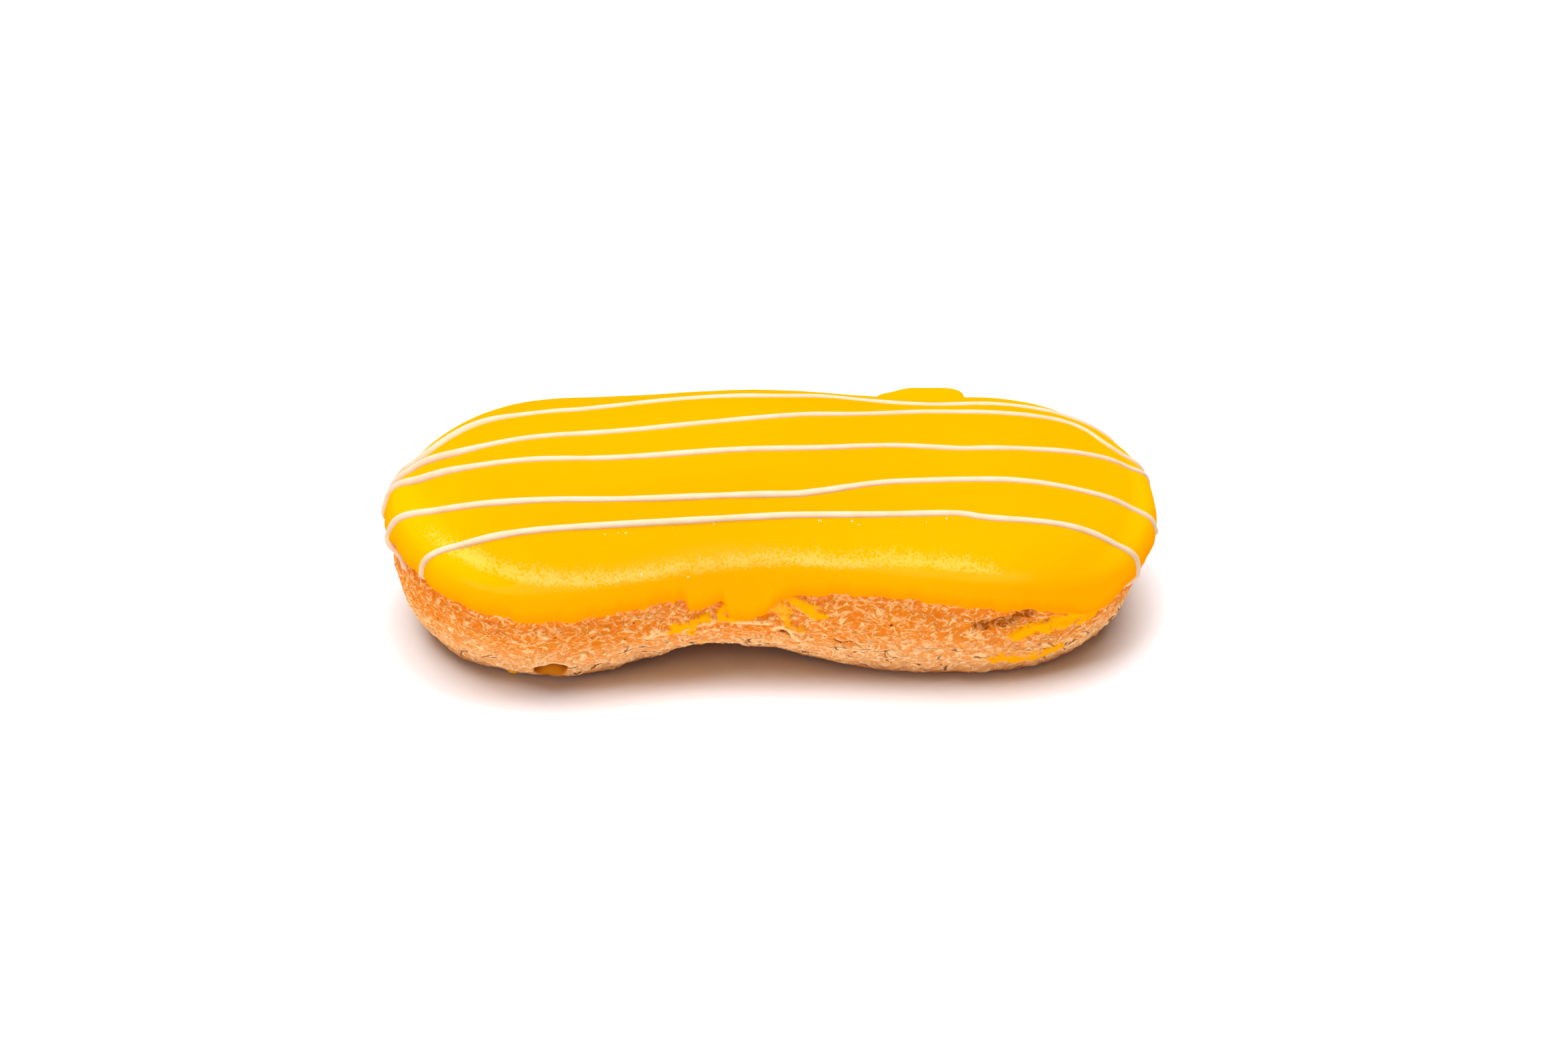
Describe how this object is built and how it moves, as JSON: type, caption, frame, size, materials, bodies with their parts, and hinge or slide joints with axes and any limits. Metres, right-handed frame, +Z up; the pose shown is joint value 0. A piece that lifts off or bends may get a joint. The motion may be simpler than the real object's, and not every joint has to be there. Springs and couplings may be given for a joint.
{
  "type": "eclair",
  "caption": "Baked choux eclair pinched at one side, with a rough golden crust under glossy yellow icing and thin cream drizzle laid lengthwise.",
  "frame": {"origin": "on the table, under the middle of the eclair's bounding box", "axes": "+X along the eclair, +Z up from the base to the iced top, and the pinched side faces -Y"},
  "size_m": [0.1416, 0.0605, 0.0413],
  "materials": {
    "choux_crust": "baked choux crust, rough and flaky, golden with browner hollows",
    "yellow_icing": "poured sugar icing, glossy deep yellow, more orange along its rim",
    "cream_drizzle": "set chocolate drizzle, satin cream white"
  },
  "bodies": {
    "root": {"pastry": "choux_crust", "icing": "yellow_icing"}
  },
  "joints": []
}
